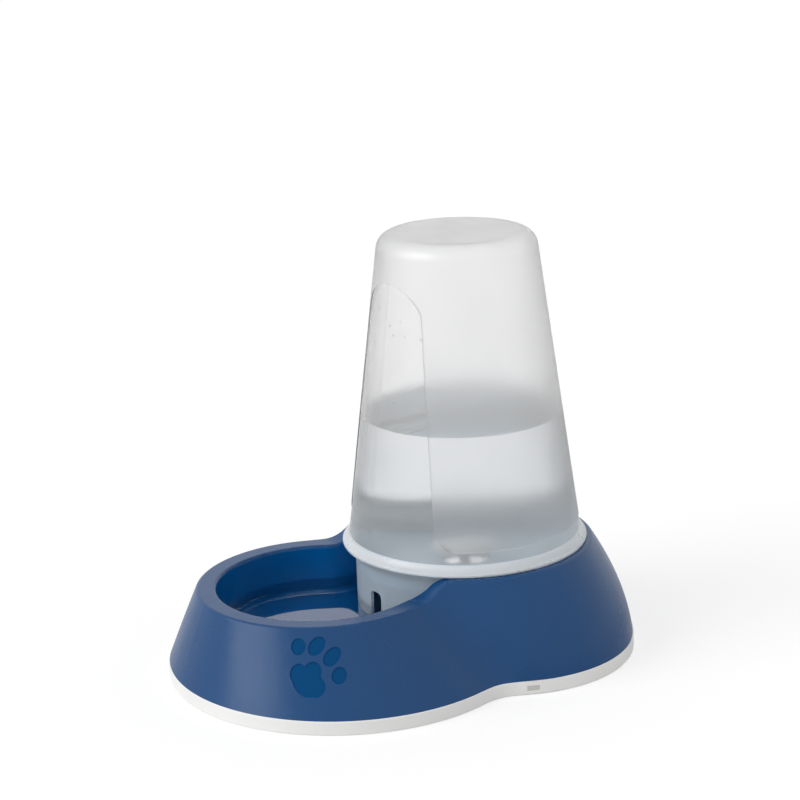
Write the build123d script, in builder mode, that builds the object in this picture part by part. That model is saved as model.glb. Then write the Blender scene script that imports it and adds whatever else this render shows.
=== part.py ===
"""Gravity water dispenser for pets, in millimetres.

The origin is on the floor, under the middle of the foot. +Z is up, the drinking bowl is towards -Y
and the reservoir's tower towards +Y.
"""

import os
from math import cos, radians, sin, sqrt, tan

from build123d import *

os.makedirs("parts", exist_ok=True)

# How far from a stated height a face, edge or corner is still picked
pick_margin = 0.01

# Foot: a round lobe under the bowl and a blunt one under the tower, joined by hollow waists
bowl_foot_radius = 101.0
tower_corner_radius = 72.3
tower_corner_x = 25.8
blunt_arc_turn = 35.0
foot_spacing = 89.0
foot_waist_radius = 28.0
ring_height = 8.0
ring_step = 0.6
ring_lip = 2.0
ring_floor = 3.0
ring_inner_lip = 1.8
ring_inner_height = 6.5
ring_edge_radius = 0.8
tongue_fit = 0.1
tongue_overlap = 1.0
gate_turn = -17.0
gate_width = 7.0
gate_height = 3.0
gate_depth = 0.3

# Base shell
bowl_rim_height = 51.0
seat_height = 61.0
bowl_radius = 58.0
bowl_rim_width = 11.0
bowl_offset = 15.0
tower_offset = 12.5
top_waist_radius = 45.0
bowl_wall_steepness = 0.95
tower_wall_steepness = 0.31
wall_outline_count = 6
wall_half_points = 28
shell_wall = 2.6
rim_outer_round = 2.0
rim_inner_round = 1.8
ramp_length = 25.0
ramp_offset = 36.0

# Basin of the bowl and the well under the reservoir
basin_floor_height = 12.0
basin_floor_thickness = 2.4
basin_wall = 2.4
basin_draft = 3.0
basin_waist_radius = 30.0
basin_corner_round = 7.0
well_clearance = 3.2
rib_thickness = 1.8
rib_foot_gap = 3.0
bowl_rib_angles = (-150, -120, -90, -60, -30, 0, 180)
tower_rib_angles = (0, 30, 60, 90, 120, 150, 180)

# Paw print sunk into the side of the bowl
paw_turn = 56.0
paw_across = -4.8
paw_height = 27.5
paw_tilt = 31.0
paw_pad_width = 16.0
paw_pad_length = 12.4
paw_pad_drop = 2.2
paw_lobe_radius = 4.8
paw_side_lobe_reach = 5.7
paw_side_lobe_drop = 1.0
paw_top_lobe_rise = 3.8
paw_toe_width = 7.5
paw_toe_length = 10.0
paw_toe_lean = 18.0
paw_toe_reach = 15.5
paw_toe_angle = 18.4
paw_outer_toe_radius = 3.9
paw_outer_toe_reach = 16.1
paw_outer_toe_angle = 54.0
paw_depth = 0.5
paw_overcut = 1.0
paw_reach = 40.0

# Reservoir
flange_radius = 70.0
flange_thickness = 2.0
flange_round = 0.8
flange_cove = 4.5
seat_margin = 3.0
tank_foot_radius = 67.3
tank_top_radius = 44.0
tank_height = 179.0
tank_wall = 1.8
tank_top_round = 9.5
skirt_radius = 62.8
skirt_wall = 1.8
skirt_gap = 4.0
reservoir_turn = 9.0
notch_width = 10.0
notch_top_height = 42.0
notch_round = 3.0
window_shoulder_width = 48.0
window_foot_width = 84.0
window_depth = 0.5
window_foot = 13.0
window_shoulder = 141.5
window_arch = 14.5
window_corner = 13.0

# Lid that closes the reservoir, and its seal
ledge_drop = 7.0
ledge_thickness = 2.0
ledge_width = 8.0
gasket_width = 3.6
gasket_height = 3.8
gasket_gap = 0.4
gasket_chamfer = 0.4
gasket_rib = 1.6
gasket_rib_height = 2.2
lid_thickness = 2.2
lid_clearance = 0.6
lug_count = 3
lug_length = 3.5
lug_height = 2.0
lug_angle = 14.0
lug_first_turn = 60.0
lug_play = 3.0
lid_turn = 25.0
grip_rib_count = 4
grip_rib_thickness = 2.0
grip_rib_drop = 6.0
grip_rib_reach = 46.0

# Valve in the middle of the lid
spout_bore_radius = 10.0
spout_wall = 2.0
outlet_drop = 17.5
seat_rim_width = 1.6
seat_rim_height = 1.0
guide_radius = 5.0
guide_length = 4.0
guide_drop = 8.0
guide_spoke_count = 3
guide_spoke_thickness = 1.8
stem_radius = 2.4
stem_fit = 0.08
valve_lift = 5.0
washer_radius = 12.2
washer_thickness = 2.0
washer_fit = 0.05
head_radius = 12.8
head_thickness = 2.0
head_round = 0.8
spring_coil_radius = 4.2
spring_wire_radius = 0.45
spring_turns = 6
cap_radius = 6.0
cap_thickness = 2.0
cap_collar_radius = 3.4
cap_collar_length = 2.6
cap_fit = 0.05
post_height = 22.0
post_radius = 5.5
post_round = 1.5

# Places that follow from the sizes above
blunt_arc_share = tan(radians(blunt_arc_turn / 2))
tower_foot_reach = tower_corner_radius + tower_corner_x * blunt_arc_share
foot_length = bowl_foot_radius + foot_spacing + tower_foot_reach
bowl_foot_y = bowl_foot_radius - foot_length / 2
tower_corner_y = bowl_foot_y + foot_spacing
bowl_y = bowl_foot_y - bowl_offset
tower_y = tower_corner_y - tower_offset
bowl_top_radius = bowl_radius + bowl_rim_width
seat_radius = flange_radius + seat_margin
well_radius = skirt_radius + well_clearance
tongue_inset = ring_lip + tongue_fit
groove_inset = tongue_inset + shell_wall + tongue_fit
ramp_end_y = tower_y - ramp_offset
ramp_start_y = ramp_end_y - ramp_length
tank_top_height = seat_height + tank_height
skirt_foot_height = basin_floor_height + skirt_gap
skirt_inner_radius = skirt_radius - skirt_wall
ledge_height = seat_height - ledge_drop
lid_top_height = ledge_height - gasket_height
lid_foot_height = lid_top_height - lid_thickness
outlet_height = lid_foot_height - outlet_drop
guide_height = lid_foot_height - guide_drop
lid_radius = skirt_inner_radius - lid_clearance
ledge_radius = skirt_inner_radius - ledge_width
gasket_inner_radius = ledge_radius + gasket_gap
spout_radius = spout_bore_radius + spout_wall
valve_seat_height = lid_top_height + seat_rim_height
washer_foot_height = valve_seat_height + valve_lift
head_foot_height = washer_foot_height + washer_thickness
cap_top_height = post_height + cap_thickness
flange_top_height = seat_height + flange_thickness
cove_height = flange_top_height + flange_cove
panel_foot_height = seat_height + window_foot
lug_turns = [360 / lug_count * lug + lug_first_turn for lug in range(lug_count)]
tower_axis = Axis((0, tower_y, 0), (0, 0, 1))


def outward(turn):
    """Level direction away from the tower's axis, at a turn from the front towards +X."""
    return (sin(radians(turn)), -cos(radians(turn)), 0)


def tower_section(turn):
    """Upright plane through the tower's axis, with its X axis outward at the turn."""
    return Plane((0, tower_y, 0), x_dir=outward(turn), z_dir=outward(turn - 90))


def tower_front(turn):
    """Upright plane through the tower's axis that faces outward at the turn."""
    return Plane((0, tower_y, 0), x_dir=outward(turn + 90), z_dir=outward(turn))


def tank_radius(height):
    """The tapered tank's outer radius at a height."""
    share = (height - seat_height) / tank_height
    return tank_foot_radius + (tank_top_radius - tank_foot_radius) * share


def band_radius(height):
    """The outer radius of the clear band and window, which lie a little below the panel."""
    return tank_radius(height) - window_depth


def arc_middle(centre, radius, start, end):
    """Middle point of the short arc from one point of a circle to another."""
    return centre + ((start + end) * 0.5 - centre).normalized() * radius


def lobed_half(front_radius, front_y, corner_radius, corner_x, corner_y, waist_radius):
    """Draws the +X half of an outline with a round front lobe and a blunt back lobe, from the front.

    A hollow arc joins the lobes. The back lobe has a round corner on each side of the Y axis and a
    shallower arc between them.
    """
    turn = radians(blunt_arc_turn)
    front = Vector(0, front_y)
    corner = Vector(corner_x, corner_y)
    back_radius = corner_radius + corner_x / sin(turn)
    back = Vector(0, corner_y - corner_x / tan(turn))
    front_arm = front_radius + waist_radius
    corner_arm = corner_radius + waist_radius
    reach = corner - front
    along = (front_arm**2 - corner_arm**2 + reach.length**2) / (2 * reach.length)
    ahead = reach.normalized()
    waist = front + ahead * along + Vector(ahead.Y, -ahead.X) * sqrt(front_arm**2 - along**2)
    joints = [
        front - Vector(0, front_radius),
        front + (waist - front).normalized() * front_radius,
        corner + (waist - corner).normalized() * corner_radius,
        corner + Vector(sin(turn), cos(turn)) * corner_radius,
        back + Vector(0, back_radius),
    ]
    arcs = ((front, front_radius), (waist, waist_radius), (corner, corner_radius), (back, back_radius))
    for (centre, radius), start, end in zip(arcs, joints[:-1], joints[1:]):
        ThreePointArc(start, arc_middle(centre, radius, start, end), end)


def arc_face(sizes, mode=Mode.ADD):
    """Face of the outline with the sizes that lobed_half takes, as its arcs."""
    with BuildLine() as outline:
        lobed_half(*sizes)
        mirror(about=Plane.YZ)
    make_face(outline.edges(), mode=mode)


def foot_face(inset, mode=Mode.ADD):
    """The foot's outline on the current sketch, drawn in by the inset."""
    sizes = (
        bowl_foot_radius - inset,
        bowl_foot_y,
        tower_corner_radius - inset,
        tower_corner_x,
        tower_corner_y,
        foot_waist_radius + inset,
    )
    arc_face(sizes, mode)


def wall_share(height, top_height, steepness):
    """How far the wall has come from the foot's outline towards the top's, from 0 to 1.

    A steepness of 1 gives a straight wall, and less gives one that bulges.
    """
    rise = (height - ring_height) / (top_height - ring_height)
    return steepness * rise + (1 - steepness) * rise**2


def wall_face(height, inset):
    """The base's outline at a height as one smooth closed line, drawn in by the inset."""
    bowl_share = wall_share(height, bowl_rim_height, bowl_wall_steepness)
    tower_share = wall_share(height, seat_height, tower_wall_steepness)
    bowl_start = bowl_foot_radius - ring_step
    corner_start = tower_corner_radius - ring_step
    waist_start = foot_waist_radius + ring_step
    with BuildLine() as half:
        lobed_half(
            bowl_start + (bowl_top_radius - bowl_start) * bowl_share - inset,
            bowl_foot_y - bowl_offset * bowl_share,
            corner_start + (seat_radius - corner_start) * tower_share - inset,
            tower_corner_x * (1 - tower_share),
            tower_corner_y - tower_offset * tower_share,
            waist_start + (top_waist_radius - waist_start) * tower_share + inset,
        )
    shares = [step / wall_half_points for step in range(wall_half_points + 1)]
    points = [half.wire() @ share for share in shares]
    points += [Vector(-point.X, point.Y) for point in reversed(points[1:-1])]
    with BuildLine() as outline:
        Spline(*points, periodic=True)
    make_face(outline.edges())


def basin_face(growth):
    """The basin's outline at its floor on the current sketch, widened by the growth."""
    draft = tan(radians(basin_draft))
    bowl_rise = bowl_rim_height - basin_floor_height
    well_rise = seat_height - basin_floor_height
    sizes = (
        bowl_radius - bowl_rise * draft + growth,
        bowl_y,
        well_radius - well_rise * draft + growth,
        0,
        tower_y,
        basin_waist_radius - growth,
    )
    arc_face(sizes)


def above_rim_face(drop):
    """Side view of all that lies above the rim's ramped line, which is lowered by the drop."""
    low = bowl_rim_height - drop
    high = seat_height - drop
    middle_y = (ramp_start_y + ramp_end_y) / 2
    middle = (middle_y, (low + high) / 2)
    sky = seat_height + tank_height
    with BuildLine() as outline:
        start = Line((-foot_length, low), (ramp_start_y, low))
        lower = TangentArc(start @ 1, middle, tangent=(1, 0))
        upper = TangentArc(lower @ 1, (ramp_end_y, high), tangent=lower % 1)
        end = Line(upper @ 1, (foot_length, high))
        Polyline(end @ 1, (foot_length, sky), (-foot_length, sky), (-foot_length, low))
    make_face(outline.edges())


def paw_plane():
    """Plane beside the bowl that faces the wall at the paw print, with its Y axis up."""
    way = (sin(radians(paw_turn)), -cos(radians(paw_turn)), 0)
    side = (cos(radians(paw_turn)), sin(radians(paw_turn)), 0)
    centre_x = way[0] * bowl_foot_radius + side[0] * paw_across
    centre_y = bowl_foot_y + way[1] * bowl_foot_radius + side[1] * paw_across
    return Plane((centre_x, centre_y, paw_height), x_dir=side, z_dir=way)


def paw_place(bearing, reach, lean):
    """Place in the tilted paw print, at a reach and bearing from the pad's middle."""
    turn = radians(paw_tilt + bearing)
    return Location((reach * sin(turn), reach * cos(turn), 0), (0, 0, -paw_tilt - lean))


def paw_face():
    """A plain tilted paw print: a pad of three lobes below four toes."""
    with Locations(paw_place(180, paw_pad_drop, 0)):
        Ellipse(paw_pad_width / 2, paw_pad_length / 2)
        with Locations((0, paw_pad_drop + paw_top_lobe_rise)):
            Circle(paw_lobe_radius)
        for side in (-1, 1):
            with Locations((side * paw_side_lobe_reach, paw_pad_drop - paw_side_lobe_drop)):
                Circle(paw_lobe_radius)
    for side in (-1, 1):
        with Locations(paw_place(side * paw_toe_angle, paw_toe_reach, paw_toe_lean)):
            Ellipse(paw_toe_width / 2, paw_toe_length / 2)
        with Locations(paw_place(side * paw_outer_toe_angle, paw_outer_toe_reach, 0)):
            Circle(paw_outer_toe_radius)


# Heights of the wall's outlines, the last of which lies above the seat
wall_step = (seat_height - ring_height) / (wall_outline_count - 2)
wall_heights = [ring_height + wall_step * step for step in range(wall_outline_count)]

# The space of the bowl and the well, open upwards
with BuildPart() as basin_space:
    with BuildSketch(Plane.XY.offset(basin_floor_height)):
        basin_face(0)
    extrude(amount=wall_heights[-1] - basin_floor_height, taper=-basin_draft)
    fillet(basin_space.faces().sort_by(Axis.Z)[0].edges(), basin_corner_round)

# The basin's walls and floor, as one block
with BuildPart() as basin_block:
    with BuildSketch(Plane.XY.offset(basin_floor_height - basin_floor_thickness)):
        basin_face(basin_wall)
    extrude(amount=wall_heights[-1] - basin_floor_height + basin_floor_thickness, taper=-basin_draft)

# The hollow under the shell, without the basin and the ribs
with BuildPart() as shell_space:
    for height in wall_heights:
        with BuildSketch(Plane.XY.offset(height)):
            wall_face(height, shell_wall)
    loft()
    with BuildSketch(Plane.YZ):
        above_rim_face(shell_wall)
    extrude(amount=foot_length, both=True, mode=Mode.SUBTRACT)
    add(basin_block.part, mode=Mode.SUBTRACT)
    for centre_y, angles in ((bowl_y, bowl_rib_angles), (tower_y, tower_rib_angles)):
        with Locations(Location((0, centre_y, ring_height + rib_foot_gap))):
            for angle in angles:
                Box(
                    foot_length,
                    rib_thickness,
                    seat_height,
                    rotation=(0, 0, angle),
                    align=(Align.MIN, Align.CENTER, Align.MIN),
                    mode=Mode.SUBTRACT,
                )

# A layer over the bowl's outer wall that reaches as deep as the paw print, and a little outside it
with BuildPart() as paw_layer:
    for height in wall_heights:
        with BuildSketch(Plane.XY.offset(height)):
            wall_face(height, -paw_overcut)
    loft()
    for height in wall_heights:
        with BuildSketch(Plane.XY.offset(height)):
            wall_face(height, paw_depth)
    loft(mode=Mode.SUBTRACT)
    with BuildSketch(paw_plane()):
        paw_face()
    extrude(amount=-paw_reach, mode=Mode.INTERSECT)

with BuildPart() as base_shell:
    for height in wall_heights:
        with BuildSketch(Plane.XY.offset(height)):
            wall_face(height, 0)
    loft()
    with BuildSketch(Plane.YZ):
        above_rim_face(0)
    extrude(amount=foot_length, both=True, mode=Mode.SUBTRACT)
    fillet(base_shell.edges(Select.LAST).filter_by(Axis.X, reverse=True), rim_outer_round)
    add(basin_space.part, mode=Mode.SUBTRACT)
    rim_edges = base_shell.edges(Select.LAST).filter_by(Axis.X, reverse=True)
    rim_edges = rim_edges.filter_by_position(
        Axis.Z, bowl_rim_height - pick_margin, seat_height + pick_margin
    )
    fillet(rim_edges, rim_inner_round)
    add(shell_space.part, mode=Mode.SUBTRACT)
    add(paw_layer.part, mode=Mode.SUBTRACT)
    with BuildSketch(Plane.XY.offset(ring_floor)):
        foot_face(tongue_inset)
        foot_face(tongue_inset + shell_wall, Mode.SUBTRACT)
    extrude(amount=ring_height + tongue_overlap - ring_floor)
    with BuildSketch(Plane.XY.offset(basin_floor_height)):
        with Locations((0, tower_y)):
            Circle(post_radius)
    extrude(amount=post_height - basin_floor_height)
    post_top = base_shell.faces(Select.LAST).filter_by_position(
        Axis.Z, post_height - pick_margin, post_height + pick_margin
    )
    fillet(post_top.edges(), post_round)
base_shell.part.label = "base_shell"
export_step(base_shell.part, "parts/base_shell.step")

with BuildPart() as anti_slip_ring:
    with BuildSketch():
        foot_face(0)
        foot_face(groove_inset + ring_inner_lip, Mode.SUBTRACT)
    extrude(amount=ring_height)
    outer_edges = anti_slip_ring.faces().sort_by(Axis.Z)[-1].outer_wire().edges()
    outer_edges += anti_slip_ring.faces().sort_by(Axis.Z)[0].outer_wire().edges()
    fillet(outer_edges, ring_edge_radius)
    with BuildSketch(Plane.XY.offset(ring_floor)):
        foot_face(ring_lip)
        foot_face(groove_inset, Mode.SUBTRACT)
    extrude(amount=ring_height, mode=Mode.SUBTRACT)
    with BuildSketch(Plane.XY.offset(ring_inner_height)):
        foot_face(groove_inset)
    extrude(amount=ring_height, mode=Mode.SUBTRACT)
    gate_way = Vector(cos(radians(gate_turn)), sin(radians(gate_turn)))
    gate_place = Vector(tower_corner_x, tower_corner_y, ring_height / 2) + gate_way * tower_corner_radius
    with BuildSketch(Plane(gate_place, x_dir=(0, 0, 1), z_dir=gate_way)):
        Rectangle(gate_height, gate_width)
    extrude(amount=-gate_depth, mode=Mode.SUBTRACT)
anti_slip_ring.part.label = "anti_slip_ring"
export_step(anti_slip_ring.part, "parts/anti_slip_ring.step")

# The skin of the tank's front where the clear window lies below the frosted panel
with BuildPart() as window_skin:
    with BuildSketch(tower_section(0)):
        with BuildLine():
            foot_radius = tank_radius(panel_foot_height)
            Polyline(
                (tank_top_radius - window_depth, tank_top_height),
                (tank_top_radius + flange_cove, tank_top_height),
                (foot_radius + flange_cove, panel_foot_height),
                (foot_radius - window_depth, panel_foot_height),
                close=True,
            )
        make_face()
    revolve(axis=tower_axis)
    with BuildSketch(tower_front(reservoir_turn)) as window:
        with BuildLine():
            foot_x = window_foot_width / 2
            shoulder_height = seat_height + window_shoulder
            shoulder_x = window_shoulder_width / 2
            Polyline(
                (-shoulder_x, shoulder_height),
                (-foot_x, panel_foot_height),
                (foot_x, panel_foot_height),
                (shoulder_x, shoulder_height),
            )
            ThreePointArc(
                (shoulder_x, shoulder_height),
                (0, shoulder_height + window_arch),
                (-shoulder_x, shoulder_height),
            )
        make_face()
        with Locations((0, panel_foot_height)):
            Rectangle(2 * flange_radius, window_corner, align=(Align.CENTER, Align.MAX))
        foot_corners = window.vertices().group_by(Axis.Y)[1].sort_by(Axis.X)[1:3]
        fillet(foot_corners, window_corner)
    extrude(amount=flange_radius, mode=Mode.INTERSECT)

with BuildPart() as reservoir:
    with BuildSketch(tower_section(reservoir_turn)) as section:
        with BuildLine() as outline:
            roof = Line((0, tank_top_height), (tank_top_radius, tank_top_height))
            panel = Line(roof @ 1, (tank_radius(panel_foot_height), panel_foot_height))
            step = Line(panel @ 1, (band_radius(panel_foot_height), panel_foot_height))
            band = Line(step @ 1, (band_radius(cove_height), cove_height))
            cove = TangentArc(band @ 1, (flange_radius, flange_top_height), tangent=band % 1)
            Polyline(
                cove @ 1,
                (flange_radius, seat_height),
                (skirt_radius, seat_height),
                (skirt_radius, skirt_foot_height),
                (skirt_inner_radius, skirt_foot_height),
                (skirt_inner_radius, ledge_height),
                (ledge_radius, ledge_height),
                (ledge_radius, ledge_height + ledge_thickness),
                (skirt_inner_radius, ledge_height + ledge_thickness),
                (skirt_inner_radius, flange_top_height),
                (tank_radius(flange_top_height) - tank_wall, flange_top_height),
                (tank_top_radius - tank_wall, tank_top_height - tank_wall),
                (0, tank_top_height - tank_wall),
                roof @ 0,
            )
        make_face()
        lip_corners = section.vertices().sort_by(Axis.X)[-2:]
        fillet(lip_corners, flange_round)
        roof_corner = section.vertices().group_by(Axis.Y)[-1].sort_by(Axis.X)[-1]
        fillet(roof_corner, tank_top_round)
        ceiling_height = tank_top_height - tank_wall
        ceiling_line = section.vertices().filter_by_position(
            Axis.Y, ceiling_height - pick_margin, ceiling_height + pick_margin
        )
        fillet(ceiling_line.sort_by(Axis.X)[-1], tank_top_round - tank_wall)
    revolve(axis=tower_axis)
    add(window_skin.part, mode=Mode.SUBTRACT)
    with BuildSketch(tower_front(reservoir_turn)) as notch:
        with Locations((0, notch_top_height)):
            Rectangle(notch_width, notch_top_height, align=(Align.CENTER, Align.MAX))
        fillet(notch.vertices().group_by(Axis.Y)[-1], notch_round)
    extrude(amount=skirt_radius, mode=Mode.SUBTRACT)
    for turn in lug_turns:
        with BuildSketch(tower_section(turn - lug_angle / 2)):
            with Locations((skirt_inner_radius + skirt_wall / 2, lid_foot_height)):
                Rectangle(lug_length + skirt_wall / 2, lug_height, align=(Align.MAX, Align.MAX))
        revolve(axis=tower_axis, revolution_arc=lug_angle)
reservoir.part.label = "reservoir"
export_step(reservoir.part, "parts/reservoir.step")

with BuildPart() as reservoir_lid:
    with BuildSketch(tower_section(0)):
        with BuildLine():
            Polyline(
                (spout_bore_radius, outlet_height),
                (spout_radius, outlet_height),
                (spout_radius, lid_foot_height),
                (lid_radius, lid_foot_height),
                (lid_radius, lid_top_height),
                (gasket_inner_radius - gasket_gap, lid_top_height),
                (gasket_inner_radius - gasket_gap, lid_top_height + gasket_rib_height),
                (gasket_inner_radius - gasket_gap - gasket_rib, lid_top_height + gasket_rib_height),
                (gasket_inner_radius - gasket_gap - gasket_rib, lid_top_height),
                (spout_bore_radius + seat_rim_width, lid_top_height),
                (spout_bore_radius + seat_rim_width, valve_seat_height),
                (spout_bore_radius, valve_seat_height),
                close=True,
            )
        make_face()
    revolve(axis=tower_axis)
    for turn in lug_turns:
        with BuildSketch(tower_section(turn - lid_turn - lug_angle / 2 - lug_play)):
            with Locations((skirt_radius, lid_foot_height + lid_thickness / 2)):
                Rectangle(
                    skirt_radius - skirt_inner_radius + lug_length + lid_clearance,
                    2 * lid_thickness,
                    align=(Align.MAX, Align.CENTER),
                )
        revolve(axis=tower_axis, revolution_arc=lug_angle + 2 * lug_play, mode=Mode.SUBTRACT)
    with Locations(Location((0, tower_y, guide_height))):
        Cylinder(guide_radius, guide_length, align=(Align.CENTER, Align.CENTER, Align.MIN))
        for spoke in range(guide_spoke_count):
            Box(
                spout_bore_radius + spout_wall / 2,
                guide_spoke_thickness,
                guide_length,
                rotation=(0, 0, 360 / guide_spoke_count * spoke),
                align=(Align.MIN, Align.CENTER, Align.MIN),
            )
        Cylinder(
            stem_radius + stem_fit,
            guide_length,
            align=(Align.CENTER, Align.CENTER, Align.MIN),
            mode=Mode.SUBTRACT,
        )
    for rib in range(grip_rib_count):
        turn = 360 / grip_rib_count * rib + 180 / grip_rib_count
        way = outward(turn)
        rib_start = spout_radius - spout_wall / 2
        start = (way[0] * rib_start, tower_y + way[1] * rib_start, lid_foot_height - grip_rib_drop)
        with BuildSketch(Plane(start, x_dir=way, z_dir=(0, 0, 1))):
            Rectangle(
                grip_rib_reach - rib_start, grip_rib_thickness, align=(Align.MIN, Align.CENTER)
            )
        extrude(amount=grip_rib_drop + lid_thickness / 2)
reservoir_lid.part.label = "reservoir_lid"
export_step(reservoir_lid.part, "parts/reservoir_lid.step")

with BuildPart() as lid_gasket:
    with BuildSketch(tower_section(0)) as section:
        with Locations((gasket_inner_radius, lid_top_height)):
            Rectangle(gasket_width, gasket_height, align=(Align.MIN, Align.MIN))
        chamfer(section.vertices(), gasket_chamfer)
    revolve(axis=tower_axis)
lid_gasket.part.label = "lid_gasket"
export_step(lid_gasket.part, "parts/lid_gasket.step")

with BuildPart() as valve_plunger:
    with BuildSketch(tower_section(0)) as section:
        with BuildLine():
            Polyline(
                (0, cap_top_height),
                (stem_radius, cap_top_height),
                (stem_radius, head_foot_height),
                (head_radius, head_foot_height),
                (head_radius, head_foot_height + head_thickness),
                (0, head_foot_height + head_thickness),
                close=True,
            )
        make_face()
    revolve(axis=tower_axis)
    head_top = valve_plunger.faces().sort_by(Axis.Z)[-1]
    fillet(head_top.edges(), head_round)
valve_plunger.part.label = "valve_plunger"
export_step(valve_plunger.part, "parts/valve_plunger.step")

with BuildPart() as valve_washer:
    with BuildSketch(Plane.XY.offset(washer_foot_height)):
        with Locations((0, tower_y)):
            Circle(washer_radius)
            Circle(stem_radius + washer_fit, mode=Mode.SUBTRACT)
    extrude(amount=washer_thickness)
valve_washer.part.label = "valve_washer"
export_step(valve_washer.part, "parts/valve_washer.step")

with BuildPart() as spring_cap:
    with BuildSketch(Plane.XY.offset(post_height)):
        with Locations((0, tower_y)):
            Circle(cap_radius)
    extrude(amount=cap_thickness)
    with BuildSketch(Plane.XY.offset(cap_top_height)):
        with Locations((0, tower_y)):
            Circle(cap_collar_radius)
            Circle(stem_radius + cap_fit, mode=Mode.SUBTRACT)
    extrude(amount=cap_collar_length)
spring_cap.part.label = "spring_cap"
export_step(spring_cap.part, "parts/spring_cap.step")

spring_length = guide_height - cap_top_height
spring_rise = spring_length - 2 * spring_wire_radius
with BuildPart() as valve_spring:
    spring_foot = (0, tower_y, cap_top_height + spring_wire_radius)
    with BuildLine() as coil:
        Helix(spring_rise / spring_turns, spring_rise, spring_coil_radius, center=spring_foot)
    with BuildSketch(Plane(coil.line @ 0, z_dir=coil.line % 0)):
        Circle(spring_wire_radius)
    sweep()
valve_spring.part.label = "valve_spring"
export_step(valve_spring.part, "parts/valve_spring.step")
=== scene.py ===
"""Looks of the gravity water dispenser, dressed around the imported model.

The blue base is a satin moulding with a glossy bowl and a sunk paw print, the foot is a white rubber band,
and the tank is milky polypropylene with a clear window that faces the bowl. Water stands in both.
"""

import logging
import math
import random
from dataclasses import dataclass, field
from enum import Enum, IntEnum
from typing import Callable, Iterable, TypeAlias

import bmesh
import bpy
from mathutils import Matrix, Vector


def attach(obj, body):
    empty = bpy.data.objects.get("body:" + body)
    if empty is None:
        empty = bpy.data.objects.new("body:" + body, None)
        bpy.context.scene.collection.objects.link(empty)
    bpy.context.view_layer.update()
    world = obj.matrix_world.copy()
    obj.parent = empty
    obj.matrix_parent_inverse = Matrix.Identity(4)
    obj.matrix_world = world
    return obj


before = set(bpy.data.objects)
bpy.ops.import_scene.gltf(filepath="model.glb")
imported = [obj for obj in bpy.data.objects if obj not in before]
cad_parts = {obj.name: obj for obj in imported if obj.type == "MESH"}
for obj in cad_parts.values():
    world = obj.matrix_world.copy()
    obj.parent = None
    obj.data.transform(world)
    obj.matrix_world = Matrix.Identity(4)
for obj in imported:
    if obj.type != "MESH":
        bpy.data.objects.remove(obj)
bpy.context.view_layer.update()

MM = 0.001
PHOTO_WIDTH = 800
SENSOR_WIDTH = 36.0

# Blender's noise hardly leaves this range
NOISE_LOW = 0.3
NOISE_HIGH = 0.7

Color: TypeAlias = tuple[float, float, float]

log = logging.getLogger("dispenser")


class Grain(Enum):
    """How a moulded surface was left by its tool, as the pitch of its grain per metre."""

    POLISHED = 260.0
    SATIN = 2600.0
    FROSTED = 3400.0


class ShellFace(IntEnum):
    """The finishes of the base shell's faces, in the order of its materials."""

    OUTSIDE = 0
    BASIN = 1
    PAW = 2
    WET_FLOOR = 3


class FootFace(IntEnum):
    """The finishes of the foot's faces, in the order of its materials."""

    RUBBER = 0
    # Faces painted darker, as painted shade on the foot's side
    PAINTED_SHADE_PATCH = 1


class TankFace(IntEnum):
    """The finishes of the tank's faces, in the order of its materials."""

    PANEL = 0
    WINDOW = 1
    INSIDE = 2
    FLANGE = 3
    SKIRT = 4
    LEDGE = 5


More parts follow.
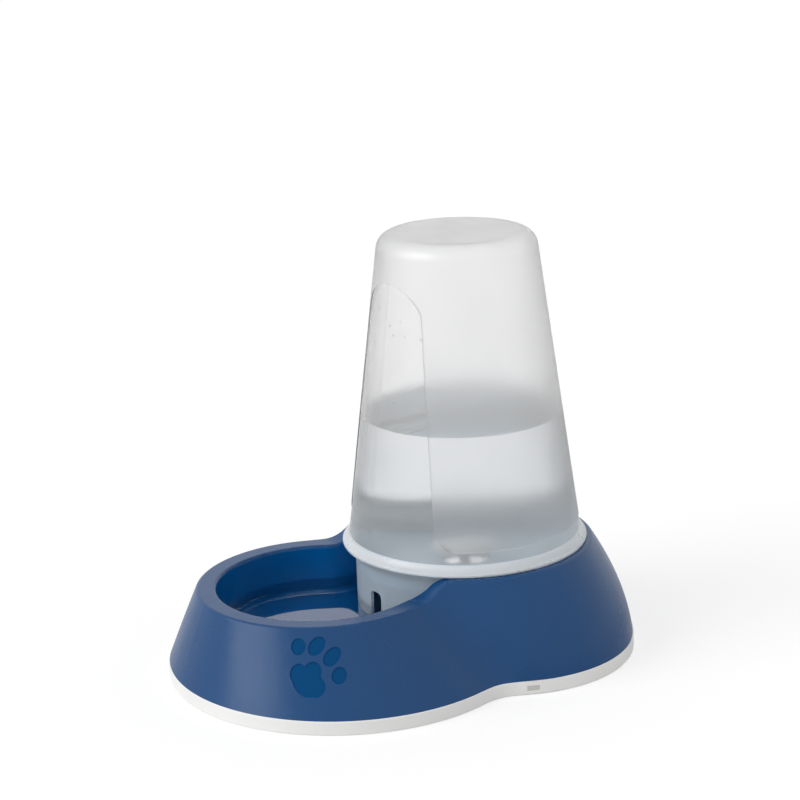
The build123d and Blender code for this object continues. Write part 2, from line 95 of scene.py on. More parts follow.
class NodeBench:
    """A material's node tree, with short calls to add nodes and link them."""

    def __init__(self, name: str) -> None:
        """Makes an empty material with a Principled shader and an output.

        Args:
            name: the material's name.
        """
        self.material = bpy.data.materials.new(name)
        self.material.use_nodes = True
        self.tree = self.material.node_tree
        self.shader = self.tree.nodes["Principled BSDF"]

    def add(self, kind: str, **settings: object) -> bpy.types.Node:
        """Adds a node.

        Args:
            kind: the node's type name.
            settings: attributes to set on it.

        Returns:
            The new node.
        """
        node = self.tree.nodes.new(kind)
        for key, value in settings.items():
            setattr(node, key, value)
        return node

    def link(self, output: bpy.types.NodeSocket, socket: bpy.types.NodeSocket) -> None:
        """Links an output to a socket."""
        self.tree.links.new(output, socket)

    def noise(self, scale: float, detail: float = 3.0) -> bpy.types.NodeSocket:
        """Noise in the object's own metres.

        Args:
            scale: features per metre.
            detail: how many finer layers it has.

        Returns:
            The noise value, about NOISE_LOW to NOISE_HIGH.
        """
        place = self.add("ShaderNodeTexCoord").outputs["Object"]
        noise = self.add("ShaderNodeTexNoise")
        noise.inputs["Scale"].default_value = scale
        noise.inputs["Detail"].default_value = detail
        self.link(place, noise.inputs["Vector"])
        return noise.outputs["Fac"]

    def spread(self, value: bpy.types.NodeSocket, low: float, high: float) -> bpy.types.NodeSocket:
        """Maps noise to a range.

        Args:
            value: the noise.
            low: the result at NOISE_LOW.
            high: the result at NOISE_HIGH.

        Returns:
            The mapped value.
        """
        ramp = self.add("ShaderNodeMapRange")
        ramp.inputs["From Min"].default_value = NOISE_LOW
        ramp.inputs["From Max"].default_value = NOISE_HIGH
        ramp.inputs["To Min"].default_value = low
        ramp.inputs["To Max"].default_value = high
        self.link(value, ramp.inputs["Value"])
        return ramp.outputs["Result"]

    def blend(self, share: bpy.types.NodeSocket, low: Color, high: Color) -> bpy.types.NodeSocket:
        """Mixes two colours by a value from 0 to 1.

        Args:
            share: 0 for the first colour, 1 for the second.
            low: the first colour.
            high: the second colour.

        Returns:
            The mixed colour.
        """
        mix = self.add("ShaderNodeMix", data_type="RGBA")
        mix.inputs["A"].default_value = (*low, 1.0)
        mix.inputs["B"].default_value = (*high, 1.0)
        self.link(share, mix.inputs["Factor"])
        return mix.outputs["Result"]

    def mottled(self, pitch: float, color: Color, shade: Color) -> None:
        """Gives the shader a colour that drifts between two tones.

        Args:
            pitch: patches per metre.
            color: the first tone.
            shade: the second tone.
        """
        patches = self.spread(self.noise(pitch), 0.0, 1.0)
        self.link(self.blend(patches, color, shade), self.shader.inputs["Base Color"])

    def smeared(self, pitch: float, roughness: float, play: float) -> None:
        """Gives the shader an uneven roughness.

        Args:
            pitch: patches per metre.
            roughness: the middle value.
            play: how far it goes to either side.
        """
        patches = self.spread(self.noise(pitch), roughness - play, roughness + play)
        self.link(patches, self.shader.inputs["Roughness"])

    def grained(self, pitch: float, depth: float, detail: float = 2.0) -> None:
        """Gives the shader a fine relief.

        Args:
            pitch: grains per metre.
            depth: of the relief, in metres.
            detail: how many finer layers it has.
        """
        self.bump(self.noise(pitch, detail), depth)

    def set(self, **values: object) -> None:
        """Sets constants on the shader's own sockets, named with underscores for spaces."""
        for key, value in values.items():
            self.shader.inputs[key.replace("_", " ")].default_value = value

    def bump(self, height: bpy.types.NodeSocket, depth: float) -> None:
        """Adds bump to the shader.

        Args:
            height: the relief, from 0 to 1.
            depth: its depth in metres.
        """
        bump = self.add("ShaderNodeBump")
        bump.inputs["Strength"].default_value = 1.0
        bump.inputs["Distance"].default_value = depth
        self.link(height, bump.inputs["Height"])
        self.link(bump.outputs["Normal"], self.shader.inputs["Normal"])


@dataclass(frozen=True)
class MouldedPlastic:
    """An opaque moulded plastic or rubber with a fine grain."""

    name: str
    color: Color
    shade: Color
    roughness: float
    roughness_play: float
    grain: Grain
    grain_depth: float
    specular: float = 0.5
    mottle_pitch: float = 14.0
    smear_pitch: float = 38.0

    def material(self) -> bpy.types.Material:
        """Builds the material.

        Returns:
            A material with mottled colour, uneven roughness and grain.
        """
        bench = NodeBench(self.name)
        bench.mottled(self.mottle_pitch, self.color, self.shade)
        bench.smeared(self.smear_pitch, self.roughness, self.roughness_play)
        bench.grained(self.grain.value, self.grain_depth)
        bench.set(Specular_IOR_Level=self.specular)
        return bench.material


@dataclass(frozen=True)
class TranslucentPlastic:
    """A natural polypropylene that lets light through, clear or frosted, under a thin haze."""

    name: str
    color: Color
    transmission: float
    roughness: float
    roughness_play: float
    grain: Grain
    grain_depth: float
    ior: float = 1.49
    haze: float = 0.35
    haze_roughness: float = 0.3
    shade_share: float = 0.97
    mottle_pitch: float = 24.0
    smear_pitch: float = 60.0

    def material(self) -> bpy.types.Material:
        """Builds the material.

        Returns:
            A refracting material with a milky share and grain.
        """
        bench = NodeBench(self.name)
        shade = tuple(channel * self.shade_share for channel in self.color)
        bench.mottled(self.mottle_pitch, self.color, shade)
        bench.smeared(self.smear_pitch, self.roughness, self.roughness_play)
        bench.grained(self.grain.value, self.grain_depth)
        bench.set(Transmission_Weight=self.transmission, IOR=self.ior)
        bench.set(Sheen_Weight=self.haze, Sheen_Roughness=self.haze_roughness)
        return bench.material


@dataclass(frozen=True)
class StillWater:
    """Clear water with a faint ripple, whose clear coat strengthens what it mirrors."""

    name: str
    color: Color = (0.96, 0.98, 1.0)
    shade_share: float = 0.985
    tint_pitch: float = 9.0
    ripple_pitch: float = 45.0
    ripple_depth: float = 0.00002
    ior: float = 1.333
    mirror: float = 0.6

    def material(self) -> bpy.types.Material:
        """Builds the material.

        Returns:
            A clear refracting material.
        """
        bench = NodeBench(self.name)
        shade = tuple(channel * self.shade_share for channel in self.color)
        bench.mottled(self.tint_pitch, self.color, shade)
        bench.grained(self.ripple_pitch, self.ripple_depth, detail=1.0)
        bench.set(Transmission_Weight=1.0, IOR=self.ior, Roughness=0.0)
        bench.set(Coat_Weight=self.mirror, Coat_Roughness=0.0)
        return bench.material


@dataclass(frozen=True)
class SpringSteel:
    """Bright drawn stainless wire."""

    name: str
    color: Color = (0.62, 0.62, 0.63)
    shade: Color = (0.5, 0.5, 0.52)
    roughness: float = 0.3
    roughness_play: float = 0.1
    mark_pitch: float = 900.0
    smear_pitch: float = 1500.0

    def material(self) -> bpy.types.Material:
        """Builds the material.

        Returns:
            A metal with fine drawing marks.
        """
        bench = NodeBench(self.name)
        bench.mottled(self.mark_pitch, self.color, self.shade)
        bench.smeared(self.smear_pitch, self.roughness, self.roughness_play)
        bench.set(Metallic=1.0)
        return bench.material


Finish: TypeAlias = MouldedPlastic | TranslucentPlastic | StillWater | SpringSteel


@dataclass(frozen=True)
class Finishes:
    """Every finish of the dispenser."""

    outer_blue: MouldedPlastic = MouldedPlastic(
        name="satin_blue",
        color=(0.0015, 0.057, 0.184),
        shade=(0.0015, 0.054, 0.176),
        roughness=0.27,
        roughness_play=0.03,
        grain=Grain.SATIN,
        grain_depth=0.00002,
        specular=0.34,
    )
    # Lighter than the satin blue of the same moulding: painted light that brightens the shaded bowl
    bowl_blue_painted_fill: MouldedPlastic = MouldedPlastic(
        name="gloss_blue_painted_fill",
        color=(0.0015, 0.11, 0.36),
        shade=(0.0015, 0.1, 0.33),
        roughness=0.16,
        roughness_play=0.03,
        grain=Grain.POLISHED,
        grain_depth=0.00001,
        specular=0.15,
    )
    # Also lighter than the blue outside: painted light for the shaded basin floor, with the low gloss of a
    # wet surface
    wet_blue_painted_fill: MouldedPlastic = MouldedPlastic(
        name="wet_blue_painted_fill",
        color=(0.0015, 0.1, 0.32),
        shade=(0.0015, 0.09, 0.3),
        roughness=0.35,
        roughness_play=0.03,
        grain=Grain.POLISHED,
        grain_depth=0.00001,
        specular=0.03,
    )
    paw_blue: MouldedPlastic = MouldedPlastic(
        name="polished_blue",
        color=(0.001, 0.064, 0.195),
        shade=(0.001, 0.06, 0.185),
        roughness=0.2,
        roughness_play=0.03,
        grain=Grain.POLISHED,
        grain_depth=0.00001,
        specular=0.06,
    )
    foot_white: MouldedPlastic = MouldedPlastic(
        name="white_foot_rubber",
        color=(0.86, 0.86, 0.85),
        shade=(0.82, 0.82, 0.81),
        roughness=0.5,
        roughness_play=0.06,
        grain=Grain.SATIN,
        grain_depth=0.00004,
        specular=0.4,
    )
    # A darker grey for a patch on the foot's side: painted shade, not a colour of the rubber
    foot_shade_patch: MouldedPlastic = MouldedPlastic(
        name="foot_painted_shade_patch",
        color=(0.62, 0.61, 0.58),
        shade=(0.56, 0.55, 0.52),
        roughness=0.6,
        roughness_play=0.06,
        grain=Grain.SATIN,
        grain_depth=0.00006,
        specular=0.3,
    )
    tank_panel: TranslucentPlastic = TranslucentPlastic(
        name="frosted_tank",
        color=(0.99, 0.99, 0.992),
        transmission=0.93,
        roughness=0.36,
        roughness_play=0.04,
        grain=Grain.FROSTED,
        grain_depth=0.00002,
    )
    tank_window: TranslucentPlastic = TranslucentPlastic(
        name="clear_tank_window",
        color=(0.99, 0.99, 0.992),
        transmission=0.93,
        roughness=0.2,
        roughness_play=0.03,
        grain=Grain.POLISHED,
        grain_depth=0.00001,
    )
    tank_inside: TranslucentPlastic = TranslucentPlastic(
        name="tank_inside",
        color=(0.99, 0.99, 0.992),
        transmission=0.98,
        roughness=0.12,
        roughness_play=0.02,
        grain=Grain.POLISHED,
        grain_depth=0.00001,
    )
    # Its blue tint is painted light from the blue base, not the colour of the natural plastic
    flange: TranslucentPlastic = TranslucentPlastic(
        name="milky_flange_painted_blue_light",
        color=(0.9, 0.95, 0.99),
        transmission=0.38,
        roughness=0.3,
        roughness_play=0.04,
        grain=Grain.SATIN,
        grain_depth=0.00002,
    )
    # Its blue tint is painted light from the blue well around it, not the colour of the natural plastic
    skirt: TranslucentPlastic = TranslucentPlastic(
        name="milky_skirt_painted_blue_light",
        color=(0.8, 0.91, 0.99),
        transmission=0.62,
        roughness=0.35,
        roughness_play=0.04,
        grain=Grain.SATIN,
        grain_depth=0.00002,
    )
    # Its blue tint is painted light from the blue base, not the colour of the natural plastic
    ledge: TranslucentPlastic = TranslucentPlastic(
        name="milky_ledge_painted_blue_light",
        color=(0.88, 0.95, 0.99),
        transmission=0.15,
        roughness=0.35,
        roughness_play=0.04,
        grain=Grain.SATIN,
        grain_depth=0.00002,
    )
    # Pale natural plastic with a blue tint; the tint is painted light from the blue base below
    lid: MouldedPlastic = MouldedPlastic(
        name="pale_lid_painted_blue_light",
        color=(0.74, 0.88, 0.99),
        shade=(0.72, 0.86, 0.97),
        roughness=0.34,
        roughness_play=0.03,
        grain=Grain.SATIN,
        grain_depth=0.00002,
        specular=0.3,
    )
    seal: MouldedPlastic = MouldedPlastic(
        name="grey_silicone",
        color=(0.75, 0.76, 0.76),
        shade=(0.71, 0.72, 0.72),
        roughness=0.45,
        roughness_play=0.05,
        grain=Grain.SATIN,
        grain_depth=0.00004,
        specular=0.4,
    )
    valve: MouldedPlastic = MouldedPlastic(
        name="white_acetal",
        color=(0.84, 0.85, 0.85),
        shade=(0.8, 0.8, 0.8),
        roughness=0.3,
        roughness_play=0.05,
        grain=Grain.SATIN,
        grain_depth=0.00002,
        specular=0.5,
    )
    spring: SpringSteel = SpringSteel("spring_steel")
    water: StillWater = StillWater("still_water")


class Finisher:
    """Keeps one material for each finish, so that pieces share them."""

    def __init__(self) -> None:
        """Starts with no material made."""
        self._made: dict[str, bpy.types.Material] = {}

    def get(self, finish: Finish) -> bpy.types.Material:
        """The material of a finish, made on its first use.

        Args:
            finish: the finish.

        Returns:
            Its material.
        """
        if finish.name not in self._made:
            self._made[finish.name] = finish.material()
        return self._made[finish.name]

    def gather(self, *finishes: Finish) -> list[bpy.types.Material]:
        """The materials of several finishes, in their order."""
        return [self.get(finish) for finish in finishes]


class CadPiece:
    """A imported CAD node, whose faces are dressed by rule."""

    def __init__(self, node: str) -> None:
        """Takes the node by its name."""
        self.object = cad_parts[node]
        self.mesh = self.object.data

    def dress(
        self,
        materials: list[bpy.types.Material],
        choose: Callable[[bpy.types.MeshPolygon, Vector], int] | None = None,
    ) -> None:
        """Gives the piece its materials, one or by face.

        Args:
            materials: the materials, in order.
            choose: gives a face's place in that list from the face and its centre in metres.
        """
        self.mesh.materials.clear()
        for material in materials:
            self.mesh.materials.append(material)
        for face in self.mesh.polygons:
            face.material_index = int(choose(face, face.center)) if choose else 0
        log.info("%s: %d faces, %d finishes", self.object.name, len(self.mesh.polygons), len(materials))


def make_object(name: str, mesh: bmesh.types.BMesh, material: bpy.types.Material) -> bpy.types.Object:
    """Turns a working mesh into an object of the scene.

    Args:
        name: the object's name.
        mesh: the working mesh, which is freed.
        material: its material.

    Returns:
        The new object.
    """
    data = bpy.data.meshes.new(name)
    mesh.to_mesh(data)
    mesh.free()
    data.materials.append(material)
    made = bpy.data.objects.new(name, data)
    bpy.context.collection.objects.link(made)
    return made


@dataclass
class Plan:
    """Sizes of the part that the finishes and the water go by, in metres, as its own source has them."""

    bowl_y: float = -49.217 * MM
    tower_y: float = 42.283 * MM
    bowl_foot_y: float = -34.217 * MM
    tower_corner: tuple[float, float] = (25.8 * MM, 54.783 * MM)
    waist_y: float = -3.5 * MM
    basin_floor: float = 12.0 * MM
    post_radius: float = 30.0 * MM
    seat: float = 61.0 * MM
    bowl_water_level: float = 31.0 * MM
    tank_water_level: float = 137.0 * MM
    lid_top: float = 50.2 * MM
    ledge_top: float = 56.0 * MM
    tank_floor: float = 63.0 * MM
    mouth_radius: float = 53.0 * MM
    skirt_radius: float = 62.8 * MM
    skirt_inner_radius: float = 61.0 * MM
    tank_floor_radius: float = 65.2 * MM
    reservoir_turn: float = math.radians(9.0)


@dataclass(frozen=True)
class Oval:
    """An oval in the paw print's own axes: its middle, its half sizes and its lean."""

    middle: tuple[float, float]
    halves: tuple[float, float]
    lean: float = 0.0

    def holds(self, across: float, up: float, margin: float) -> bool:
        """Whether a point lies in the oval, widened by a margin.

        Args:
            across: the point's place across the print.
            up: its place up the print.
            margin: how far outside still counts.

        Returns:
            True inside.
        """
        x, y = across - self.middle[0], up - self.middle[1]
        turned_x = x * math.cos(self.lean) - y * math.sin(self.lean)
        turned_y = x * math.sin(self.lean) + y * math.cos(self.lean)
        half_x, half_y = self.halves[0] + margin, self.halves[1] + margin
        return (turned_x / half_x) ** 2 + (turned_y / half_y) ** 2 <= 1


@dataclass
class PawPrint:
    """Where the sunk paw print lies on the side of the bowl, in metres."""

    turn: float = math.radians(56.0)
    tilt: float = math.radians(31.0)
    across: float = -4.8 * MM
    height: float = 27.5 * MM
    margin: float = 0.2 * MM
    pad_drop: float = 2.2 * MM
    pad_halves: tuple[float, float] = (8.0 * MM, 6.2 * MM)
    lobe_radius: float = 4.8 * MM
    top_lobe_rise: float = 3.8 * MM
    side_lobe_reach: float = 5.7 * MM
    side_lobe_drop: float = 1.0 * MM
    toe_reach: float = 15.5 * MM
    toe_angle: float = math.radians(18.4)
    toe_halves: tuple[float, float] = (3.75 * MM, 5.0 * MM)
    toe_lean: float = math.radians(18.0)
    outer_toe_reach: float = 16.1 * MM
    outer_toe_angle: float = math.radians(54.0)
    outer_toe_radius: float = 3.9 * MM

    def ovals(self) -> list[Oval]:
        """The pad's lobes and the toes.

        Returns:
            The ovals that make up the print.
        """
        lobe = (self.lobe_radius, self.lobe_radius)
        outer = (self.outer_toe_radius, self.outer_toe_radius)
        shapes = [Oval((0.0, -self.pad_drop), self.pad_halves), Oval((0.0, self.top_lobe_rise), lobe)]
        for side in (-1, 1):
            shapes.append(Oval((side * self.side_lobe_reach, -self.side_lobe_drop), lobe))
            toe = self._toe_middle(side, self.toe_reach, self.toe_angle)
            shapes.append(Oval(toe, self.toe_halves, self.toe_lean))
            shapes.append(Oval(self._toe_middle(side, self.outer_toe_reach, self.outer_toe_angle), outer))
        return shapes

    def _toe_middle(self, side: int, reach: float, angle: float) -> tuple[float, float]:
        """A toe's middle, on a reach from the print's own middle and at an angle from its upward axis."""
        return (side * reach * math.sin(angle), reach * math.cos(angle))

    def covers(self, place: Vector, centre_y: float) -> bool:
        """Whether a point of the wall lies within the print.

        Args:
            place: the point.
            centre_y: the middle of the bowl's foot on the Y axis.

        Returns:
            True within the pad or a toe.
        """
        side = Vector((math.cos(self.turn), math.sin(self.turn)))
        out = Vector((math.sin(self.turn), -math.cos(self.turn)))
        flat = Vector((place.x, place.y - centre_y))
        if flat.dot(out) < 0:
            return False
        level, rise = flat.dot(side) - self.across, place.z - self.height
        across = level * math.cos(self.tilt) - rise * math.sin(self.tilt)
        up = level * math.sin(self.tilt) + rise * math.cos(self.tilt)
        return any(oval.holds(across, up, self.margin) for oval in self.ovals())


@dataclass
class Base:
    """The blue base shell and its white foot."""

    plan: Plan
    finisher: Finisher
    finishes: Finishes
    paw: PawPrint = field(default_factory=PawPrint)
    # Where a darker patch of painted shade lies on the foot, as seen from the tower's corner
    shade_patch_turn: float = math.radians(-17.0)
    shade_patch_span: float = math.radians(2.9)
    shade_patch_reach: float = 72.0 * MM
    shade_patch_play: float = 0.12 * MM
    # How far a face looks away from the lobe's axis or up, where one finish gives way to the next
    basin_facing: float = -0.3
    basin_rise: float = 0.3
    floor_facing: float = 0.3
    floor_rise: float = 0.08
    upright: float = 0.5

    def dress(self) -> None:
        """Dresses the shell and the foot."""
        looks = self.finishes
        shell = self.finisher.gather(looks.outer_blue, looks.bowl_blue_painted_fill, looks.paw_blue, looks.wet_blue_painted_fill)
        CadPiece("base_shell").dress(shell, self._shell_finish)
        foot = self.finisher.gather(looks.foot_white, looks.foot_shade_patch)
        CadPiece("anti_slip_ring").dress(foot, self._foot_finish)

    def _shell_finish(self, face: bpy.types.MeshPolygon, centre: Vector) -> ShellFace:
        """Satin outside, glossy on the basin's walls, wet on its floor, polished in the paw print; the
        basin's walls and floor carry a lighter blue than the same moulding outside, painted light for the
        shaded basin.

        Args:
            face: the face.
            centre: its centre.

        Returns:
            The finish.
        """
        middle_y = (self.plan.bowl_y + self.plan.tower_y) / 2
        axis_y = self.plan.bowl_y if centre.y < middle_y else self.plan.tower_y
        outward = Vector((centre.x, centre.y - axis_y)).normalized()
        facing = outward.x * face.normal.x + outward.y * face.normal.y
        low = centre.z < self.plan.basin_floor * 2
        if low and face.normal.z > self.floor_rise and facing < self.floor_facing:
            return ShellFace.WET_FLOOR
        if facing < self.basin_facing and face.normal.z < self.basin_rise:
            return ShellFace.BASIN
        if self.paw.covers(centre, self.plan.bowl_foot_y):
            return ShellFace.PAW
        return ShellFace.OUTSIDE

    def _foot_finish(self, face: bpy.types.MeshPolygon, centre: Vector) -> FootFace:
        """White rubber, with a darker patch of painted shade.

        Args:
            face: the face.
            centre: its centre.

        Returns:
            The finish.
        """
        corner_x, corner_y = self.plan.tower_corner
        reach = math.hypot(centre.x - corner_x, centre.y - corner_y)
        bearing = math.atan2(centre.y - corner_y, centre.x - corner_x)
        beside = abs(bearing - self.shade_patch_turn) > self.shade_patch_span
        off_depth = abs(reach - self.shade_patch_reach) > self.shade_patch_play
        if beside or off_depth or abs(face.normal.z) >= self.upright:
            return FootFace.RUBBER
        return FootFace.PAINTED_SHADE_PATCH


@dataclass
class Tank:
    """The tapered tank, with its frosted panel and clear window."""

    plan: Plan
    finisher: Finisher
    finishes: Finishes
    foot_radius: float = 67.3 * MM
    top_radius: float = 44.0 * MM
    height: float = 179.0 * MM
    window_depth: float = 0.5 * MM
    # Between these shares of its depth below the panel, a face belongs to the window
    window_shares: tuple[float, float] = (0.5, 1.5)
    panel_foot: float = 74.0 * MM
    cove_top: float = 67.6 * MM
    level_play: float = 0.1 * MM
    skirt_play: float = 1.0 * MM
    # How far a face looks away from the tank's axis or up, where the inside begins
    inside_facing: float = -0.02
    downward: float = -0.6

    def dress(self) -> None:
        """Dresses the tank."""
        looks = self.finishes
        finishes = self.finisher.gather(
            looks.tank_panel, looks.tank_window, looks.tank_inside, looks.flange, looks.skirt, looks.ledge
        )
        CadPiece("reservoir").dress(finishes, self._tank_finish)

    def wall_radius(self, height: float) -> float:
        """The panel's outer radius at a height above the floor, both in metres."""
        share = (height - self.plan.seat) / self.height
        return self.foot_radius + (self.top_radius - self.foot_radius) * share

    def _tank_finish(self, face: bpy.types.MeshPolygon, centre: Vector) -> TankFace:
        """Frosted panel, clear window and band, smooth inside, milky flange, skirt and ledge, the last three
        with a painted blue tint that stands for light from the blue base.

        Args:
            face: the face.
            centre: its centre.

        Returns:
            The finish.
        """
        outward = Vector((centre.x, centre.y - self.plan.tower_y, 0.0))
        skirt_reach = self.plan.skirt_radius - self.skirt_play
        if self.plan.ledge_top - self.level_play < centre.z < self.cove_top and outward.length < skirt_reach:
            return TankFace.LEDGE
        if centre.z < self.plan.seat - self.level_play:
            return TankFace.SKIRT
        if centre.z < self.cove_top and outward.length > skirt_reach:
            return TankFace.FLANGE
        faces_in = outward.length > 0 and face.normal.dot(outward.normalized()) < self.inside_facing
        if faces_in or face.normal.z < self.downward:
            return TankFace.INSIDE
        if centre.z < self.panel_foot or self._in_window(face):
            return TankFace.WINDOW
        return TankFace.PANEL

    def _in_window(self, face: bpy.types.MeshPolygon) -> bool:
        """Whether every corner of a face lies at the depth of the sunk window.

        Args:
            face: the face.

        Returns:
            True in the window.
        """
        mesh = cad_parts["reservoir"].data
        low, high = (self.window_depth * share for share in self.window_shares)
        depths = []
        for index in face.vertices:
            place = mesh.vertices[index].co
            radius = math.hypot(place.x, place.y - self.plan.tower_y)
            depths.append(self.wall_radius(place.z) - radius)
        return all(low < depth < high for depth in depths)


@dataclass
class LidAndValve:
    """The lid under the tank, its seal and the valve in its middle."""

    finisher: Finisher
    finishes: Finishes

    def dress(self) -> None:
        """Dresses the lid, the seals and the valve."""
        dressed = {
            "reservoir_lid": self.finishes.lid,
            "lid_gasket": self.finishes.seal,
            "valve_washer": self.finishes.seal,
            "valve_plunger": self.finishes.valve,
            "spring_cap": self.finishes.valve,
            "valve_spring": self.finishes.spring,
        }
        for node, finish in dressed.items():
            CadPiece(node).dress(self.finisher.gather(finish))


class Slice:
    """The cut lines of a CAD node at a height, seen from above."""

    # A bearing that crosses a cut line by less than this runs along it
    PARALLEL = 1e-12
    # A bearing still meets a cut line that ends this share of its length short
    END_PLAY = 1e-6

    def __init__(self, node: str, height: float, post: Vector, post_radius: float) -> None:
        """Cuts the node's faces with a level plane.

        Args:
            node: the node's name.
            height: of the plane, in metres.
            post: the middle of what stands free in the hollow.
            post_radius: cut lines this near to it are left out.
        """
        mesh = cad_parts[node].data
        self.segments: list[tuple[Vector, Vector]] = []
        for face in mesh.polygons:
            corners = [mesh.vertices[index].co for index in face.vertices]
            crossings = []
            for start, end in zip(corners, corners[1:] + corners[:1]):
                if (start.z < height) != (end.z < height):
                    share = (height - start.z) / (end.z - start.z)
                    crossings.append(start.lerp(end, share).to_2d())
            if len(crossings) == 2 and (crossings[0] - post).length > post_radius:
                self.segments.append((crossings[0], crossings[1]))

    def reach(self, centre: Vector, angle: float) -> float:
        """Distance from a centre to the first cut line on a bearing.

        Args:
            centre: the centre.
            angle: the bearing, in radians.

        Returns:
            The distance in metres.
        """
        way = Vector((math.cos(angle), math.sin(angle)))
        best = math.inf
        for start, end in self.segments:
            along = end - start
            cross = way.x * along.y - way.y * along.x
            if abs(cross) < self.PARALLEL:
                continue
            to_start = start - centre
            distance = (to_start.x * along.y - to_start.y * along.x) / cross
            share = (to_start.x * way.y - to_start.y * way.x) / cross
            if -self.END_PLAY <= share <= 1 + self.END_PLAY and 0 < distance < best:
                best = distance
        return best


@dataclass
class Pool:
    """A body of still water that fills a CAD hollow up to a level, and wets its walls."""

    name: str
    node: str
    body: str
    centre: Vector
    post: Vector
    post_radius: float
    heights: list[float]
    mouth: list[tuple[float, float]] = field(default_factory=list)
    wetting: float = 0.05 * MM
    bearings: int = 360

    def build(self, material: bpy.types.Material) -> bpy.types.Object:
        """Builds the water from its mouth's rounds and slices of the hollow.

        Args:
            material: the water's material.

        Returns:
            The new object.
        """
        mesh = bmesh.new()
        rings = [self._ring(mesh, height, [reach] * self.bearings) for height, reach in self.mouth]
        for height in self.heights:
            cut = Slice(self.node, height, self.post, self.post_radius)
            reaches = [cut.reach(self.centre, angle) for angle in self._angles()]
            rings.append(self._ring(mesh, height, reaches))
        for lower, upper in zip(rings, rings[1:]):
            for step in range(self.bearings):
                after = (step + 1) % self.bearings
                mesh.faces.new((lower[step], lower[after], upper[after], upper[step]))
        mesh.faces.new(list(reversed(rings[0])))
        mesh.faces.new(rings[-1])
        water = make_object(self.name, mesh, material)
        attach(water, self.body)
        log.info("%s: %d rings", self.name, len(rings))
        return water

    def _angles(self) -> list[float]:
        """The bearings of a ring's corners, in radians."""
        return [2 * math.pi * step / self.bearings for step in range(self.bearings)]

    def _ring(
        self, mesh: bmesh.types.BMesh, height: float, reaches: list[float]
    ) -> list[bmesh.types.BMVert]:
        """Adds a ring of corners.

        Args:
            mesh: the working mesh.
            height: of the ring, in metres.
            reaches: the wall's distance from the centre on each bearing.

        Returns:
            The corners in order.
        """
        ring = []
        for angle, reach in zip(self._angles(), reaches):
            out = Vector((math.cos(angle), math.sin(angle))) * (reach + self.wetting)
            ring.append(mesh.verts.new((self.centre.x + out.x, self.centre.y + out.y, height)))
        return ring


@dataclass
class WallDrops:
    """Small drops that cling to the inside of the clear window above the water."""

    plan: Plan
    tank: Tank
    count: int = 18
    seed: int = 7
    wall: float = 1.8 * MM
    stand_off: float = 0.05 * MM
    sizes: tuple[float, float] = (0.3 * MM, 0.8 * MM)
    rises: tuple[float, float] = (6 * MM, 86 * MM)
    turns: tuple[float, float] = (-60.0, 110.0)
    # A drop's length down the wall and its thickness, as shares of its width
    sag: float = 1.25
    flatness: float = 0.5
    segments: int = 14
    rounds: int = 8

    def build(self, material: bpy.types.Material) -> bpy.types.Object:
        """Builds the drops as one mesh.

        Args:
            material: the water's material.

        Returns:
            The new object.
        """
        rng = random.Random(self.seed)
        mesh = bmesh.new()
        for _ in range(self.count):
            height = rng.uniform(*(self.plan.tank_water_level + rise for rise in self.rises))
            angle = self.plan.reservoir_turn + math.radians(rng.uniform(*self.turns))
            radius = self.tank.wall_radius(height) - self.wall - self.stand_off
            size = rng.uniform(*self.sizes)
            out = Vector((math.sin(angle), -math.cos(angle), 0.0))
            place = Vector((0.0, self.plan.tower_y, height)) + out * radius
            turn = out.to_track_quat("Z", "Y").to_matrix().to_4x4()
            stretch = Matrix.Diagonal((size, size * self.sag, size * self.flatness, 1.0))
            shape = Matrix.Translation(place) @ turn @ stretch
            bmesh.ops.create_uvsphere(
                mesh, u_segments=self.segments, v_segments=self.rounds, radius=1.0, matrix=shape
            )
        for face in mesh.faces:
            face.smooth = True
        drops = make_object("window_drops", mesh, material)
        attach(drops, "reservoir")
        log.info("window_drops: %d", self.count)
        return drops


@dataclass
class StandingWater:
    """The water in the tank and the basin, and the drops that it left in the window."""

    plan: Plan
    tank: Tank
    tank_shares: tuple[float, ...] = (0.003, 0.03, 0.1, 0.25, 0.5, 0.75, 1.0)
    basin_lifts: tuple[float, ...] = (0.3, 0.8, 1.5, 2.5, 3.5, 5.0, 7.0)

    def build(self, material: bpy.types.Material) -> None:
        """Builds the two pools and the drops.

        Args:
            material: the water's material.
        """
        self.tank_pool().build(material)
        self.basin_pool().build(material)
        WallDrops(self.plan, self.tank).build(material)

    def tank_pool(self) -> Pool:
        """The water in the tank, down to the lid, because a film of air there would mirror the light.

        Returns:
            The pool.
        """
        plan = self.plan
        tower = Vector((0.0, plan.tower_y))
        rise = plan.tank_water_level - plan.tank_floor
        wetting = Pool.wetting
        return Pool(
            name="tank_water",
            node="reservoir",
            body="reservoir",
            centre=tower,
            post=tower,
            post_radius=0.0,
            heights=[plan.tank_floor + rise * share for share in self.tank_shares],
            mouth=[
                (plan.lid_top - wetting, plan.mouth_radius),
                (plan.ledge_top - wetting, plan.mouth_radius),
                (plan.ledge_top - wetting, plan.skirt_inner_radius),
                (plan.tank_floor - wetting, plan.skirt_inner_radius),
                (plan.tank_floor - wetting, plan.tank_floor_radius),
            ],
        )

    def basin_pool(self) -> Pool:
        """The water in the bowl and the well, which are one basin.

        Returns:
            The pool.
        """
        plan = self.plan
        lifted = [plan.basin_floor + lift * MM for lift in self.basin_lifts]
        return Pool(
            name="basin_water",
            node="base_shell",
            body="base",
            centre=Vector((0.0, plan.waist_y)),
            post=Vector((0.0, plan.tower_y)),
            post_radius=plan.post_radius,
            heights=lifted + [plan.bowl_water_level],
        )


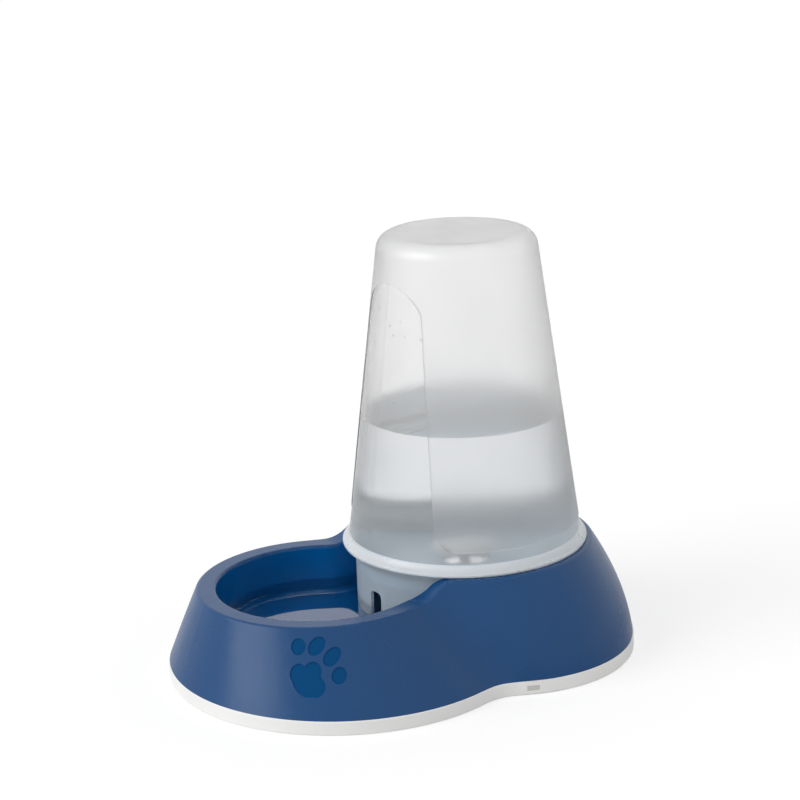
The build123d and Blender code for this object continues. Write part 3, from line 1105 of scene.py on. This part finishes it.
@dataclass
class Studio:
    """A plain white floor under soft light."""

    floor_size: float = 12.0
    floor_albedo: float = 0.8
    seen_albedo: float = 0.45
    floor_lift: float = 0.6
    ambient: float = 0.7
    key_way: Vector = field(default_factory=lambda: Vector((-0.05, -0.86, 0.50)))
    key_strength: float = 1.4
    key_spread: float = math.radians(45.0)

    def build(self) -> None:
        """Builds the floor, the sky and the lamp."""
        self._floor()
        self._sky()
        self._lamp("key", self.key_way, self.key_strength, self.key_spread)

    def _floor(self) -> None:
        """A white floor that keeps the object's shadow, which glows faintly for the camera alone."""
        mesh = bmesh.new()
        bmesh.ops.create_grid(mesh, x_segments=1, y_segments=1, size=self.floor_size / 2)
        bench = NodeBench("studio_floor")
        bench.set(Roughness=0.9, Specular_IOR_Level=0.0, Emission_Color=(1.0, 1.0, 1.0, 1.0))
        path = bench.add("ShaderNodeLightPath")
        rays = bench.add("ShaderNodeMath", operation="MAXIMUM")
        bench.link(path.outputs["Is Camera Ray"], rays.inputs[0])
        bench.link(path.outputs["Is Transmission Ray"], rays.inputs[1])
        tone = bench.blend(rays.outputs[0], (self.floor_albedo,) * 3, (self.seen_albedo,) * 3)
        bench.link(tone, bench.shader.inputs["Base Color"])
        lift = bench.add("ShaderNodeMath", operation="MULTIPLY")
        lift.inputs[1].default_value = self.floor_lift
        bench.link(rays.outputs[0], lift.inputs[0])
        bench.link(lift.outputs[0], bench.shader.inputs["Emission Strength"])
        make_object("studio_floor", mesh, bench.material)

    def _sky(self) -> None:
        """White for what the camera, gloss and glass see, and softer as light."""
        world = bpy.data.worlds.new("studio")
        bpy.context.scene.world = world
        world.use_nodes = True
        nodes, links = world.node_tree.nodes, world.node_tree.links
        path = nodes.new("ShaderNodeLightPath")
        seen = None
        for ray in ("Is Camera Ray", "Is Glossy Ray", "Is Transmission Ray"):
            if seen is None:
                seen = path.outputs[ray]
                continue
            either = nodes.new("ShaderNodeMath")
            either.operation = "MAXIMUM"
            links.new(seen, either.inputs[0])
            links.new(path.outputs[ray], either.inputs[1])
            seen = either.outputs[0]
        strength = nodes.new("ShaderNodeMapRange")
        strength.inputs["To Min"].default_value = self.ambient
        strength.inputs["To Max"].default_value = 1.0
        links.new(seen, strength.inputs["Value"])
        background = nodes["Background"]
        background.inputs["Color"].default_value = (1.0, 1.0, 1.0, 1.0)
        links.new(strength.outputs["Result"], background.inputs["Strength"])

    def _lamp(self, name: str, way: Vector, strength: float, spread: float) -> None:
        """Adds a distant soft lamp.

        Args:
            name: the lamp's name.
            way: the direction that it shines from.
            strength: its light on a surface that faces it, in watts per square metre.
            spread: the angle that it spans in the sky, in radians.
        """
        light = bpy.data.lights.new(name, "SUN")
        light.energy = strength
        light.angle = spread
        lamp = bpy.data.objects.new(name, light)
        lamp.location = way
        lamp.rotation_euler = (-way).to_track_quat("-Z", "Y").to_euler()
        bpy.context.collection.objects.link(lamp)


@dataclass
class PhotoCamera:
    """The photograph's viewpoint, solved from its outlines."""

    place: Vector = field(default_factory=lambda: Vector((1.05373, -0.49353, 0.48570)))
    heading: Vector = field(default_factory=lambda: Vector((-0.86848, 0.41029, -0.27821)))
    roll: float = -0.0349
    focal_pixels: float = 2178.5
    near: float = 0.05

    def build(self) -> None:
        """Makes the camera and gives it to the scene."""
        data = bpy.data.cameras.new("photo_camera")
        data.sensor_width = SENSOR_WIDTH
        data.lens = self.focal_pixels / PHOTO_WIDTH * SENSOR_WIDTH
        data.clip_start = self.near
        camera = bpy.data.objects.new("photo_camera", data)
        turn = self.heading.to_track_quat("-Z", "Y").to_matrix().to_4x4()
        camera.matrix_world = Matrix.Translation(self.place) @ turn @ Matrix.Rotation(self.roll, 4, "Z")
        bpy.context.collection.objects.link(camera)
        bpy.context.scene.camera = camera


def main() -> None:
    """Dresses the frame, adds the water and sets the studio."""
    logging.basicConfig(level=logging.INFO, format="%(name)s: %(message)s")
    plan, finisher, finishes = Plan(), Finisher(), Finishes()
    Base(plan, finisher, finishes).dress()
    tank = Tank(plan, finisher, finishes)
    tank.dress()
    LidAndValve(finisher, finishes).dress()
    StandingWater(plan, tank).build(finisher.get(finishes.water))
    Studio().build()
    PhotoCamera().build()
    view = bpy.context.scene.view_settings
    view.view_transform = "Standard"


if __name__ == "__main__":
    main()
